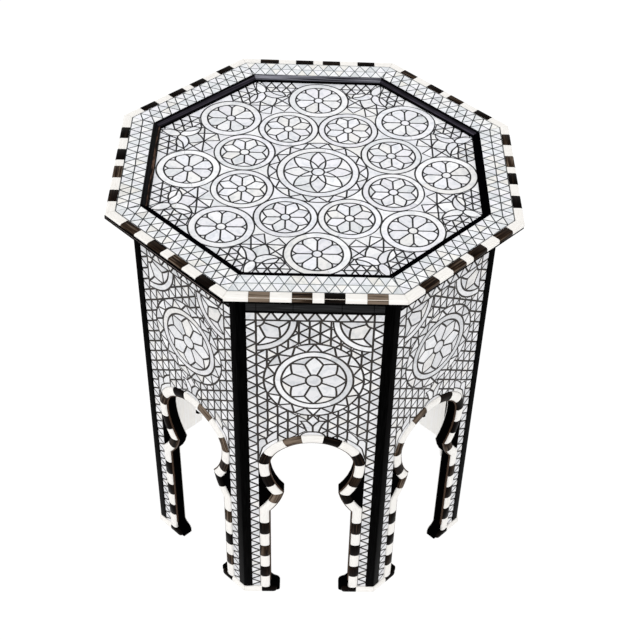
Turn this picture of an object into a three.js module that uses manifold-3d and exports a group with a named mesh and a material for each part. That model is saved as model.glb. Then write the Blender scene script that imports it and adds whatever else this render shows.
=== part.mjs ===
// An octagonal Moroccan side table, or kursi: eight mitred boards with horseshoe arches carry a
// tray top. Mother-of-pearl mosaic, half-round bone and dark wood bands and black corner strips
// are glued over the boards.
// Millimetres, +Z up. The origin is on the floor, under the middle of the top.
// Side 1 faces -Y, and the other sides follow anticlockwise, seen from above.

import * as THREE from 'three';
import { mergeVertices } from 'three/addons/utils/BufferGeometryUtils.js';
import Module from 'manifold-3d';

const wasm = await Module();
wasm.setup();

// Driving sizes of the whole table.
const borderHeight = 511;
const faceApothem = 193.7;
const sideCount = 8;
const glueGap = 0.3;
const cutOverrun = 5;

// Side boards, and the veneer that they carry.
const boardThickness = 12;
const mosaicThickness = 1.2;
const friezeDrop = 41.5;
const friezeProud = 0.6;

// Horseshoe arch in each side board.
const legWidth = 32.6;
const crownHeight = 275.5;
const crownRadius = 55;
const cuspHeight = 190.5;
const cuspReach = 16.2;
const cuspUnderRadius = 80;
const haunchHeight = 157;
const crownSweepShare = 0.467;

// Foot at the end of each leg.
const shoeHeight = 21;
const shoeReach = 11;
const toeRadius = 4;
const shoeOutlineShares = [[0.3, 0.8], [0.62, 0.72], [0.86, 0.62], [1, 0.44]];

// Half-round bands round the arch and the feet.
const bandWidth = 11.5;
const bandProud = 3;
const bandShoulder = 0.6;
const bareEdge = 1.2;
const footBandHeight = 10.5;
const footBandEndInset = 3.6;
const footBandEndTaper = 4;
const footBandEndShare = 0.62;

// Black corner strips.
const postWidth = 9.2;
const postProud = 0.8;
const postNoseRadius = 2.4;

// Tray top.
const topOverhang = 26.2;
const boardTopThickness = 10;
const lipHeight = 2.3;
const lipInset = 0.5;
const underBevel = 10.5;
const borderThickness = 5;
const borderWidth = 24.7;
const rimBandWidth = 9.9;
const rimArris = 1.8;
const mouldingWidth = 7.7;
const mouldingCrest = 0.9;
const trayMosaicDrop = 0.2;
const trayVeneer = 1.2;
const topFrameWidth = 22;
const topFrameHeight = 20;

// Steps on the curves.
const crownSteps = 6;
const shoulderSteps = 5;
const haunchSteps = 5;
const underSteps = 3;
const toeSteps = 4;
const bandSteps = 5;
const noseSteps = 4;

// Sizes that follow from the ones above.
const halfTurn = Math.PI / sideCount;
const sideTurn = 2 * halfTurn;
const sideHalf = faceApothem * Math.tan(halfTurn);
const openingHalf = sideHalf - legWidth;
const boardFace = faceApothem - mosaicThickness - glueGap;
const boardBack = boardFace - boardThickness;
const veneerBack = boardFace + glueGap;
const slabTop = borderHeight - borderThickness - glueGap;
const slabBottom = slabTop - boardTopThickness;
const bodyTop = slabBottom - glueGap;
const friezeBottom = borderHeight - friezeDrop;
const rimApothem = faceApothem + topOverhang;
const borderOuter = rimApothem - rimBandWidth - glueGap;
const borderInner = borderOuter - borderWidth;
const mouldingOuter = borderInner - glueGap;
const mouldingInner = mouldingOuter - mouldingWidth;
const bandOuterOffset = bareEdge + bandWidth;

// Finishes.
const finish = (color, roughness) => new THREE.MeshStandardMaterial({ color, roughness, metalness: 0 });
const blackLacquer = finish(0x0b0b0d, 0.25);
const motherOfPearl = finish(0xeef1f6, 0.3);
const boneAndWood = finish(0xf3ecdc, 0.4);
const bareWood = finish(0x4a3526, 0.7);

// Outline helpers.
const point = (x, y) => new THREE.Vector2(x, y);
const polar = (centre, radius, angle) => (
  point(radius * Math.cos(angle), radius * Math.sin(angle)).add(centre)
);
const mirrored = (points) => points.map((p) => point(-p.x, p.y)).reverse();

function arcPoints(centre, radius, from, to, steps) {
  const points = [];
  for (let i = 0; i <= steps; i++) {
    points.push(polar(centre, radius, from + (to - from) * i / steps));
  }
  return points;
}

// Where two circles cross. turn is 1 for the crossing to the left of the line of centres, or -1.
function circleCrossing(centreA, radiusA, centreB, radiusB, turn) {
  const away = centreB.clone().sub(centreA);
  const distance = away.length();
  const along = (radiusA ** 2 - radiusB ** 2 + distance ** 2) / (2 * distance);
  const across = Math.sqrt(Math.max(radiusA ** 2 - along ** 2, 0));
  away.normalize();
  const left = point(-away.y, away.x).multiplyScalar(turn * across);
  return centreA.clone().addScaledVector(away, along).add(left);
}

// The arch is a chain of four arcs on each half, from its crown down to the leg: a wide crown, a
// tighter shoulder, a long haunch that draws in below the widest point to the cusp, and the
// hollow under the cusp, which curves the other way and runs out to the leg.
const crownAngle = Math.PI / 2 * (1 - crownSweepShare);
const crownCentre = point(0, crownHeight - crownRadius);
const shoulderRadius = (openingHalf - crownRadius * Math.cos(crownAngle)) / (1 - Math.cos(crownAngle));
const shoulderCentre = polar(crownCentre, crownRadius - shoulderRadius, crownAngle);
const cuspTip = point(openingHalf - cuspReach, cuspHeight);
const haunchDrop = shoulderCentre.y - cuspTip.y;
const haunchRadius = (haunchDrop ** 2 + cuspReach ** 2) / (2 * cuspReach);
const haunchCentre = point(openingHalf - haunchRadius, shoulderCentre.y);
const haunchFoot = point(openingHalf, haunchHeight);
const underCentre = circleCrossing(cuspTip, cuspUnderRadius, haunchFoot, cuspUnderRadius, 1);

// Right half of the arch from crown to leg, moved outwards into the wood by an offset.
function archHalf(offset, legEnd) {
  const legLine = openingHalf + offset;
  const underRadius = cuspUnderRadius - offset;
  const tip = circleCrossing(haunchCentre, haunchRadius + offset, underCentre, underRadius, -1);
  const reach = underCentre.x - legLine;
  const bend = point(legLine, underCentre.y - Math.sqrt(underRadius ** 2 - reach ** 2));
  const angleAt = (centre, p) => Math.atan2(p.y - centre.y, p.x - centre.x);
  const tipAngle = angleAt(haunchCentre, tip);
  const underFrom = (angleAt(underCentre, tip) + 2 * Math.PI) % (2 * Math.PI);
  const underTo = (angleAt(underCentre, bend) + 2 * Math.PI) % (2 * Math.PI);
  return [
    ...arcPoints(crownCentre, crownRadius + offset, Math.PI / 2, crownAngle, crownSteps),
    ...arcPoints(shoulderCentre, shoulderRadius + offset, crownAngle, 0, shoulderSteps).slice(1),
    ...arcPoints(haunchCentre, haunchRadius + offset, 0, tipAngle, haunchSteps).slice(1),
    ...arcPoints(underCentre, underRadius, underFrom, underTo, underSteps).slice(1),
    point(legLine, legEnd),
  ];
}

// The whole arch as one open line, left leg to right leg.
function archLine(offset, legEnd) {
  const half = archHalf(offset, legEnd);
  return [...mirrored(half), ...half.slice(1)];
}

// Foot outline on the right: from the leg down over the shoe and round its toe to the floor.
function shoeOutline() {
  const toeCentre = point(openingHalf - shoeReach + toeRadius, toeRadius);
  return [
    ...shoeOutlineShares.map(([out, up]) => point(openingHalf - shoeReach * out, shoeHeight * up)),
    ...arcPoints(toeCentre, toeRadius, Math.PI, 1.5 * Math.PI, toeSteps),
  ];
}

// Solids.
function closedMesh(geometry) {
  geometry.deleteAttribute('normal');
  geometry.deleteAttribute('uv');
  return mergeVertices(geometry);
}

function toSolid(geometry) {
  const closed = closedMesh(geometry);
  return new wasm.Manifold(new wasm.Mesh({
    numProp: 3,
    vertProperties: Float32Array.from(closed.attributes.position.array),
    triVerts: Uint32Array.from(closed.index.array),
  }));
}

function toGeometry(solid) {
  const mesh = solid.getMesh();
  const geometry = new THREE.BufferGeometry();
  geometry.setAttribute('position', new THREE.BufferAttribute(mesh.vertProperties, 3));
  geometry.setIndex(new THREE.BufferAttribute(mesh.triVerts, 1));
  return geometry;
}

// A plate whose outline is drawn on the side's face, x across and y up, from one apothem to another.
function uprightPlate(outline, inner, outer) {
  const depth = outer - inner;
  const geometry = new THREE.ExtrudeGeometry(new THREE.Shape(outline), { depth, bevelEnabled: false });
  geometry.rotateX(Math.PI / 2);
  geometry.translate(0, -inner, 0);
  return geometry;
}

// A plate whose outline is drawn in plan.
function levelPlate(outline, bottom, top, hole) {
  const shape = new THREE.Shape(outline);
  if (hole) {
    shape.holes.push(new THREE.Path(hole));
  }
  const geometry = new THREE.ExtrudeGeometry(shape, { depth: top - bottom, bevelEnabled: false });
  geometry.translate(0, 0, bottom);
  return geometry;
}

// Rings of points joined in turn, closed by a flat cap at each end.
function loft(rings, capOutline) {
  const count = capOutline.length;
  const triangles = [];
  for (let r = 0; r + 1 < rings.length; r++) {
    for (let i = 0; i < count; i++) {
      const j = (i + 1) % count;
      const [a, b, c, d] = [r * count + i, r * count + j, (r + 1) * count + j, (r + 1) * count + i];
      triangles.push(a, b, c, a, c, d);
    }
  }
  const last = (rings.length - 1) * count;
  for (const [a, b, c] of THREE.ShapeUtils.triangulateShape(capOutline, [])) {
    triangles.push(c, b, a, last + a, last + b, last + c);
  }
  const geometry = new THREE.BufferGeometry();
  const places = rings.flat().flatMap((p) => p.toArray());
  geometry.setAttribute('position', new THREE.Float32BufferAttribute(places, 3));
  geometry.setIndex(triangles);
  return turnedOut(geometry);
}

// Faces that point in are turned to point out.
function turnedOut(geometry) {
  const place = geometry.attributes.position;
  const index = geometry.index.array;
  const corner = [new THREE.Vector3(), new THREE.Vector3(), new THREE.Vector3()];
  let volume = 0;
  for (let i = 0; i < index.length; i += 3) {
    corner.forEach((v, k) => v.fromBufferAttribute(place, index[i + k]));
    volume += corner[0].dot(corner[1].clone().cross(corner[2]));
  }
  if (volume < 0) {
    for (let i = 0; i < index.length; i += 3) {
      [index[i], index[i + 1]] = [index[i + 1], index[i]];
    }
  }
  return geometry;
}

// A stick along one side of the octagon, mitred at both ends. The profile's x is an apothem, and
// its y a height.
function mitredStick(profile) {
  const halfAt = (apothem) => apothem * Math.tan(halfTurn) - glueGap / 2 / Math.cos(halfTurn);
  const end = (turn) => profile.map((p) => new THREE.Vector3(turn * halfAt(p.x), -p.x, p.y));
  return loft([end(-1), end(1)], profile);
}

// Plan of the octagon, side 1 square to -Y.
function octagon(apothem) {
  const radius = apothem / Math.cos(halfTurn);
  const points = [];
  for (let i = 0; i < sideCount; i++) {
    points.push(polar(point(0, 0), radius, -Math.PI / 2 + halfTurn + i * sideTurn));
  }
  return points;
}

// One board: arch and feet are cut in it, its long edges are mitred, and its head stands proud as
// a plain black frieze between the corner strips.
function sidePanel() {
  const arch = archHalf(0, shoeHeight);
  const rightFoot = shoeOutline();
  const half = [...arch, ...rightFoot, point(sideHalf, 0), point(sideHalf, bodyTop)];
  const board = toSolid(uprightPlate([...mirrored(half), ...half.slice(1)], boardBack, boardFace));
  const halfAt = (apothem) => apothem * Math.tan(halfTurn) - glueGap / 2 / Math.cos(halfTurn);
  const inner = boardBack - cutOverrun;
  const outer = boardFace + cutOverrun;
  const wedge = toSolid(levelPlate([
    point(-halfAt(outer), -outer), point(halfAt(outer), -outer),
    point(halfAt(inner), -inner), point(-halfAt(inner), -inner),
  ], -cutOverrun, bodyTop + cutOverrun));
  const friezeHalf = sideHalf - postWidth - glueGap;
  const frieze = toSolid(uprightPlate([
    point(-friezeHalf, friezeBottom + glueGap), point(friezeHalf, friezeBottom + glueGap),
    point(friezeHalf, bodyTop), point(-friezeHalf, bodyTop),
  ], boardFace - boardThickness / 2, faceApothem + friezeProud));
  return toGeometry(board.intersect(wedge).add(frieze));
}

// The veneer of mother-of-pearl on one side, between the corner strips. Beside the cusps it keeps
// to the leg's width, so the black board shows there.
function panelMosaic() {
  const edge = sideHalf - postWidth - glueGap;
  const offset = bandOuterOffset + glueGap;
  const bottom = footBandHeight + glueGap;
  const half = [
    ...arcPoints(crownCentre, crownRadius + offset, Math.PI / 2, crownAngle, crownSteps),
    ...arcPoints(shoulderCentre, shoulderRadius + offset, crownAngle, 0, shoulderSteps).slice(1),
    point(openingHalf + offset, bottom),
    point(edge, bottom),
    point(edge, friezeBottom),
  ];
  return uprightPlate([...mirrored(half), ...half.slice(1)], veneerBack, faceApothem);
}

// Half-round section: x runs over the band's width from 0 to 1, y is how far it stands out.
function bandSection(proud) {
  const section = [point(0, 0), point(1, 0), point(1, bandShoulder)];
  for (let i = 1; i < bandSteps; i++) {
    const angle = Math.PI * i / bandSteps;
    section.push(point((1 + Math.cos(angle)) / 2, bandShoulder + (proud - bandShoulder) * Math.sin(angle)));
  }
  section.push(point(0, bandShoulder));
  return section;
}

// The band that follows the arch from foot to foot, mitred where it turns at the cusps.
function archBand() {
  const legEnd = footBandHeight + glueGap;
  const innerLine = archLine(bareEdge, legEnd);
  const outerLine = archLine(bandOuterOffset, legEnd);
  const section = bandSection(faceApothem + bandProud - veneerBack);
  const rings = innerLine.map((inner, i) => section.map((p) => {
    const across = inner.clone().lerp(outerLine[i], p.x);
    return new THREE.Vector3(across.x, -veneerBack - p.y, across.y);
  }));
  return loft(rings, section);
}

// A point on one of the two faces that meet at a corner, in the corner's own frame: side is 1 or
// -1, along is measured from the middle of that face, and out from the table's axis.
function cornerPoint(side, along, out, height) {
  const x = out * Math.sin(halfTurn) - along * Math.cos(halfTurn);
  const y = out * Math.cos(halfTurn) + along * Math.sin(halfTurn);
  return new THREE.Vector3(side * x, -y, height);
}

// The band round one foot: a half-round along both faces, mitred at the corner, drawn in at its ends.
function footBand() {
  const section = bandSection(faceApothem + bandProud - veneerBack);
  const toeX = openingHalf - shoeReach + footBandEndInset;
  const stations = [
    [-1, toeX, footBandEndShare], [-1, toeX + footBandEndTaper, 1], [0, 0, 1],
    [1, toeX + footBandEndTaper, 1], [1, toeX, footBandEndShare],
  ];
  const rings = stations.map(([side, along, fullness]) => section.map((p) => {
    const out = veneerBack + p.y * fullness;
    const height = footBandHeight * p.x * fullness;
    if (side === 0) {
      return new THREE.Vector3(0, -out / Math.cos(halfTurn), height);
    }
    return cornerPoint(side, along, out, height);
  }));
  return loft(rings, section);
}

// The black strip over one corner, from the foot band up to the top, with a rounded nose.
function cornerPost() {
  const outer = faceApothem + postProud;
  const edge = sideHalf - postWidth;
  const flat = (side, along, out) => {
    const p = cornerPoint(side, along, out, 0);
    return point(p.x, p.y);
  };
  const noseCentre = point(0, -(outer - postNoseRadius) / Math.cos(halfTurn));
  const outline = [
    flat(-1, edge, outer),
    ...arcPoints(noseCentre, postNoseRadius, -Math.PI / 2 - halfTurn, -Math.PI / 2 + halfTurn, noseSteps),
    flat(1, edge, outer),
    flat(1, edge, veneerBack),
    point(0, -veneerBack / Math.cos(halfTurn)),
    flat(-1, edge, veneerBack),
  ];
  return levelPlate(outline, footBandHeight + glueGap, bodyTop);
}

// The board of the top: bevelled underneath to a thin lip, with a shallow sinking for the tray's veneer.
function topBoard() {
  const lip = rimApothem - lipInset;
  const levels = [
    [slabBottom, lip - underBevel], [slabTop - lipHeight, lip], [slabTop, lip],
  ];
  const ringAt = (height, apothem) => octagon(apothem).map((p) => new THREE.Vector3(p.x, p.y, height));
  const rings = levels.map(([height, apothem]) => ringAt(height, apothem));
  const slab = toSolid(loft(rings, octagon(lip)));
  const floor = slabTop - trayMosaicDrop - trayVeneer - glueGap;
  const sinking = toSolid(levelPlate(octagon(mouldingInner), floor, slabTop + cutOverrun));
  return toGeometry(slab.subtract(sinking));
}

const trayMosaic = () => levelPlate(
  octagon(mouldingInner - glueGap),
  slabTop - trayMosaicDrop - trayVeneer,
  slabTop - trayMosaicDrop,
);

const borderFrame = () => levelPlate(
  octagon(borderOuter),
  slabTop + glueGap,
  borderHeight,
  octagon(borderInner),
);

const topFrame = () => levelPlate(
  octagon(boardBack - glueGap),
  bodyTop - topFrameHeight,
  bodyTop,
  octagon(boardBack - glueGap - topFrameWidth),
);

// The edge band of the top, with its upper arris rounded.
function rimBand() {
  const bottom = slabTop + glueGap;
  const inner = rimApothem - rimBandWidth;
  return mitredStick([
    point(inner, bottom),
    point(rimApothem, bottom),
    ...arcPoints(point(rimApothem - rimArris, borderHeight - rimArris), rimArris, 0, Math.PI / 2, toeSteps),
    point(inner, borderHeight),
  ]);
}

// The tray's moulding: a bead at its crest, then a hollow and a small step down to the tray.
const mouldingShares = [
  [0, 0], [1, 0], [1, 0.86], [0.93, 0.96], [0.83, 1], [0.72, 0.96], [0.65, 0.84],
  [0.5, 0.62], [0.34, 0.47], [0.2, 0.41], [0.12, 0.4], [0.03, 0.34], [0, 0.24],
];

function trayMoulding() {
  const bottom = slabTop + glueGap;
  const height = borderHeight + mouldingCrest - bottom;
  return mitredStick(mouldingShares.map(
    ([out, up]) => point(mouldingInner + mouldingWidth * out, bottom + height * up),
  ));
}

// The table, put together.
const table = new THREE.Group();

function addPiece(parent, name, geometry, material) {
  const mesh = new THREE.Mesh(geometry, material);
  mesh.name = name;
  parent.add(mesh);
}

addPiece(table, 'top_board', topBoard(), blackLacquer);
addPiece(table, 'border_frame', borderFrame(), motherOfPearl);
addPiece(table, 'tray_mosaic', trayMosaic(), motherOfPearl);
addPiece(table, 'top_frame', topFrame(), bareWood);

const sidePieces = [
  ['side_panel', sidePanel, blackLacquer],
  ['panel_mosaic', panelMosaic, motherOfPearl],
  ['arch_band', archBand, boneAndWood],
  ['rim_band', rimBand, boneAndWood],
  ['tray_moulding', trayMoulding, blackLacquer],
];
const cornerPieces = [
  ['corner_post', cornerPost, blackLacquer],
  ['foot_band', footBand, boneAndWood],
];

for (let i = 0; i < sideCount; i++) {
  const side = new THREE.Group();
  side.rotation.z = i * sideTurn;
  table.add(side);
  for (const [name, make, material] of sidePieces) {
    addPiece(side, `${name}_${i + 1}`, make(), material);
  }
  const corner = new THREE.Group();
  corner.rotation.z = i * sideTurn + halfTurn;
  table.add(corner);
  for (const [name, make, material] of cornerPieces) {
    addPiece(corner, `${name}_${i + 1}`, make(), material);
  }
}

export default table;
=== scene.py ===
# An octagonal Moroccan side table: mother-of-pearl laid in dark mastic, half-round bands of bone and
# dark wood, black lacquered corner strips and a sunken tray top.
# Side 1 faces the viewer, and the others follow anticlockwise seen from above, as in the frame.
import math
import random

import bmesh
import bpy
from mathutils import Matrix, Vector, geometry, noise


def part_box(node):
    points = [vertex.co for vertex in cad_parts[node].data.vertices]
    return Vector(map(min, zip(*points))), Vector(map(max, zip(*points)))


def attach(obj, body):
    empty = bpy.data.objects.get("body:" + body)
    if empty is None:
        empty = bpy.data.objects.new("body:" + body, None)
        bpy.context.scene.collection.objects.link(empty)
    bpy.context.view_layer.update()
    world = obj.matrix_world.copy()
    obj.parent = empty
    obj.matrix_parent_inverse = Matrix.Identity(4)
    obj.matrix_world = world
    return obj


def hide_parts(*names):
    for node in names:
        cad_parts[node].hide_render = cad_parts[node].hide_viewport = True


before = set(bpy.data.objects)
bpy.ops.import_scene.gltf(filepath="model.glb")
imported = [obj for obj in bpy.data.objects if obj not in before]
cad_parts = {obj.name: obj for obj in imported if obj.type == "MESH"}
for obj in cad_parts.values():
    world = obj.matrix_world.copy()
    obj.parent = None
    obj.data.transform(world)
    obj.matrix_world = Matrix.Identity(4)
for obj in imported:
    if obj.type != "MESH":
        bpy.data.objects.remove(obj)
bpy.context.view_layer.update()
print("frame loaded:", len(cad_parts), "nodes")

mm = 0.001
sideCount = 8
halfTurn = 180 / sideCount
sideTurn = 2 * halfTurn
slope = math.tan(math.radians(halfTurn))
cosine = math.cos(math.radians(halfTurn))

# The heights and faces that everything is fitted to, in millimetres, from the frame.
low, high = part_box("panel_mosaic_1")
faceOut, veneerFoot = -low.y / mm, low.z / mm
veneerHalf, veneerTop = high.x / mm, high.z / mm
low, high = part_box("side_panel_1")
boardBack, bodyTop = -high.y / mm, high.z / mm
low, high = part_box("tray_mosaic")
trayOut, trayFloor = -low.y / mm, high.z / mm
low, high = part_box("border_frame")
borderOut, borderFoot, borderTop = -low.y / mm, low.z / mm, high.z / mm
rimOut = -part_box("rim_band_1")[0].y / mm
mouldingOut = -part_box("tray_moulding_1")[0].y / mm
bandCrest = -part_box("arch_band_1")[0].y / mm
sideHalf = faceOut * slope
letIn = 1.2  # how deep bands, strips and beds reach into what carries them
letOut = faceOut - letIn


def metres(x, y, z):
    return Vector((x * mm, y * mm, z * mm))


# Camera, solved from the corners of the octagon in the photograph.
camera = {
    "place": (-0.00905, -1.19653, 1.36531),
    "yaw": 4.530,      # degrees to the right of straight ahead
    "pitch": -44.523,  # degrees, downwards
    "roll": 4.148,
    "lens": 74.436,    # mm, as is the sensor
    "sensor": 36,
    "shift": (-0.09375, 0.09375),
    "clip": (0.05, 50),
}


def makeCamera():
    yaw, pitch, roll = (math.radians(camera[k]) for k in ("yaw", "pitch", "roll"))
    ahead = Vector((math.sin(yaw) * math.cos(pitch), math.cos(yaw) * math.cos(pitch), math.sin(pitch)))
    right = Vector((math.cos(yaw), -math.sin(yaw), 0))
    up = right.cross(ahead)
    rolledRight = right * math.cos(roll) + up * math.sin(roll)
    rolledUp = up * math.cos(roll) - right * math.sin(roll)
    turn = Matrix((rolledRight, rolledUp, -ahead)).transposed().to_4x4()
    bpy.ops.object.camera_add()
    view = bpy.context.object
    view.name = "camera"
    view.matrix_world = Matrix.Translation(camera["place"]) @ turn
    view.data.sensor_width, view.data.lens = camera["sensor"], camera["lens"]
    view.data.shift_x, view.data.shift_y = camera["shift"]
    view.data.clip_start, view.data.clip_end = camera["clip"]
    bpy.context.scene.camera = view


def deselectAll():
    if bpy.context.object and bpy.context.object.mode != "OBJECT":
        bpy.ops.object.mode_set(mode="OBJECT")
    bpy.ops.object.select_all(action="DESELECT")


deselectAll()
makeCamera()


# Tray moulding: a bead at its crest, a hollow, and a small step down to the tray.
moulding = {
    "width": 7.7, "crest": 0.9, "mitre": 0.16,
    "profile": [(0, 0), (1, 0), (1, 0.86), (0.93, 0.96), (0.83, 1), (0.72, 0.96), (0.65, 0.84), (0.5, 0.62),
                (0.34, 0.47), (0.2, 0.41), (0.12, 0.4), (0.03, 0.34), (0, 0.24)],
}


# Materials.
def hexColour(text):
    channels = [int(text[i:i + 2], 16) / 255 for i in (1, 3, 5)]
    return tuple(c / 12.92 if c <= 0.04045 else ((c + 0.055) / 1.055) ** 2.4 for c in channels) + (1,)


def feed(material, node, sockets):
    # A socket takes a number or colour, a node for its first output, or an output itself.
    for key, value in sockets.items():
        if isinstance(value, bpy.types.Node):
            value = value.outputs[0]
        if isinstance(value, bpy.types.NodeSocket):
            material.node_tree.links.new(value, node.inputs[key])
        else:
            node.inputs[key].default_value = value


def addNode(material, kind, sockets=(), stops=(), **settings):
    # One node of a material or of the world. Stops are the places and colours of a ramp.
    node = material.node_tree.nodes.new("ShaderNode" + kind)
    for key, value in settings.items():
        setattr(node, key, value)
    feed(material, node, dict(sockets))
    for i, (place, colour) in enumerate(stops):
        if i == len(node.color_ramp.elements):
            node.color_ramp.elements.new(place)
        node.color_ramp.elements[i].position = place
        node.color_ramp.elements[i].color = hexColour(colour)
    return node


def newMaterial(name, base, rough, ior=1.5, coat=0.0, specular=0.5):
    material = bpy.data.materials.new(name)
    material.use_nodes = True
    material.node_tree.nodes.clear()
    shader = addNode(material, "BsdfPrincipled", {
        "Base Color": hexColour(base), "Roughness": rough, "IOR": ior, "Coat Weight": coat,
        "Coat Roughness": 0.1, "Specular IOR Level": specular,
    })
    addNode(material, "OutputMaterial", {"Surface": shader})
    return material, shader


def noisePattern(material, place, scale, detail, stops, more=()):
    # Noise drawn from a place, and the colours that it gives.
    drawn = addNode(material, "TexNoise", {"Vector": place, "Scale": scale, "Detail": detail, **dict(more)})
    return drawn, addNode(material, "ValToRGB", {"Fac": drawn}, stops)


def makePearl(name, thinTint):
    # Polished mother-of-pearl: each piece has its own tone and lies at its own slight tilt, and a soft
    # watered grain runs through it at about 3 mm.
    material, shader = newMaterial(name, "#eef0f4", 0.24, ior=1.53, coat=0.25)
    tone, shift, tilt = (addNode(material, "Attribute", attribute_name=row)
                         for row in ("tileTone", "tileShift", "tileTilt"))
    place = addNode(material, "TexCoord").outputs["Object"]
    moved = addNode(material, "VectorMath", {0: place, 1: shift.outputs["Vector"]}, operation="ADD")
    grain, water = noisePattern(material, moved, 130.0, 2.0, [
        (0.32, thinTint), (0.55, "#ffffff"), (0.72, "#f8f7fa")], {"Distortion": 0.7})
    mixed = addNode(material, "Mix", {"Factor": 1.0, 6: tone, 7: water},
                    data_type="RGBA", blend_type="MULTIPLY")
    rough = addNode(material, "MapRange", {"Value": grain, "To Min": 0.16, "To Max": 0.34})
    facing = addNode(material, "NewGeometry").outputs["Normal"]
    leaned = addNode(material, "VectorMath", {0: facing, 1: tilt.outputs["Vector"]}, operation="ADD")
    straight = addNode(material, "VectorMath", {0: leaned}, operation="NORMALIZE")
    bump = addNode(material, "Bump", {
        "Strength": 0.12, "Distance": 0.0004, "Height": grain, "Normal": straight})
    feed(material, shader, {"Base Color": mixed.outputs[2], "Roughness": rough, "Normal": bump})
    return material


def makeMastic(name, dark, pale):
    # Dull dark filler between the pieces, a little uneven where it was rubbed down.
    material, shader = newMaterial(name, dark, 0.62, specular=0.3)
    place = addNode(material, "TexCoord").outputs["Object"]
    _, tint = noisePattern(material, place, 90.0, 4.0, [(0.35, dark), (0.7, pale)])
    feed(material, shader, {"Base Color": tint})
    return material


def makeLacquer(name, base, glint, rough, shine, brushed=(1.0, 1.0, 0.06)):
    # Brushed black lacquer: gloss with faint long brush marks and a slow waviness.
    material, shader = newMaterial(name, base, rough, specular=shine)
    place = addNode(material, "TexCoord").outputs["Object"]
    stretch = addNode(material, "Mapping", {"Scale": brushed, "Vector": place})
    strokes, tint = noisePattern(material, stretch, 700.0, 4.0, [(0.4, base), (0.75, glint)])
    uneven = addNode(material, "MapRange", {"Value": strokes, "To Min": rough - 0.06, "To Max": rough + 0.1})
    bump = addNode(material, "Bump", {"Strength": 0.08, "Distance": 0.0003, "Height": strokes})
    feed(material, shader, {"Base Color": tint, "Roughness": uneven, "Normal": bump})
    return material


def apothemOf(material, place):
    # How far out from the table's axis a point lies, measured square to its side, and its height.
    split = addNode(material, "SeparateXYZ", {"Vector": place})
    x, y = (addNode(material, "Math", {0: split.outputs[axis]}, operation="ABSOLUTE") for axis in "XY")
    both = addNode(material, "Math", {0: x, 1: y}, operation="ADD")
    slant = addNode(material, "Math", {0: both, 1: math.sqrt(0.5)}, operation="MULTIPLY")
    square = addNode(material, "Math", {0: x, 1: y}, operation="MAXIMUM")
    return addNode(material, "Math", {0: square, 1: slant}, operation="MAXIMUM"), split.outputs["Z"]


def makeReflectionAndWearLacquer(name, marks, slopeStart, slopeEnd, length, patchy):
    # Lacquer of one run of the moulding: black at its crest and foot, with marks drawn out along the slope
    # between them: painted reflection on the far runs, wear on the left one.
    base = "#020203"
    material, shader = newMaterial(name, base, 0.26, specular=0.02)
    place = addNode(material, "TexCoord").outputs["Object"]
    apothem, height = apothemOf(material, place)
    section = addNode(material, "CombineXYZ", {"X": apothem, "Y": height})
    drawn = addNode(material, "VectorMath", {0: place, 1: (length,) * 3, 2: section},
                    operation="MULTIPLY_ADD")
    _, tint = noisePattern(material, drawn, 620.0, 3.0, marks)
    across = addNode(material, "MapRange", {
        "Value": apothem, "From Min": (mouldingOut - moulding["width"]) * mm, "From Max": mouldingOut * mm})
    sloped = addNode(material, "ValToRGB", {"Fac": across}, [
        (slopeStart, "#000000"), (slopeStart + 0.1, "#ffffff"),
        (slopeEnd - 0.05, "#ffffff"), (slopeEnd + 0.03, "#000000")])
    clouds = addNode(material, "TexNoise", {"Vector": place, "Scale": 55.0, "Detail": 4.0})
    patches = addNode(material, "MapRange", {
        "Value": clouds, "From Min": 0.44, "From Max": 0.56, "To Min": 1.0 - patchy})
    amount = addNode(material, "Math", {0: sloped, 1: patches}, operation="MULTIPLY")
    mixed = addNode(material, "Mix", {0: amount, 6: hexColour(base), 7: tint}, data_type="RGBA")
    feed(material, shader, {"Base Color": mixed.outputs[2]})
    return material


def blockGrain(material, along):
    # The tone of a block, where a point lies in it, and that place drawn out along the grain.
    tone, place = (addNode(material, "Attribute", attribute_name=row).outputs["Vector"]
                   for row in ("blockTone", "grainPlace"))
    stretch = addNode(material, "Mapping", {"Scale": (along, 1.0, 1.0), "Vector": place})
    return tone, place, addNode(material, "VectorMath", {0: stretch, 1: tone}, operation="ADD")


def makeBone(name):
    # Polished camel bone: warm white, with fine grey-brown pores drawn out along each block.
    material, shader = newMaterial(name, "#fcfaf4", 0.3, ior=1.54, coat=0.1)
    _, _, moved = blockGrain(material, 0.12)
    pores, tint = noisePattern(material, moved, 900.0, 5.0, [
        (0.25, "#e3dfd9"), (0.4, "#f0ede8"), (0.7, "#f7f4f0")])
    bump = addNode(material, "Bump", {"Strength": 0.1, "Distance": 0.0003, "Height": pores})
    feed(material, shader, {"Base Color": tint, "Normal": bump})
    return material


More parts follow.
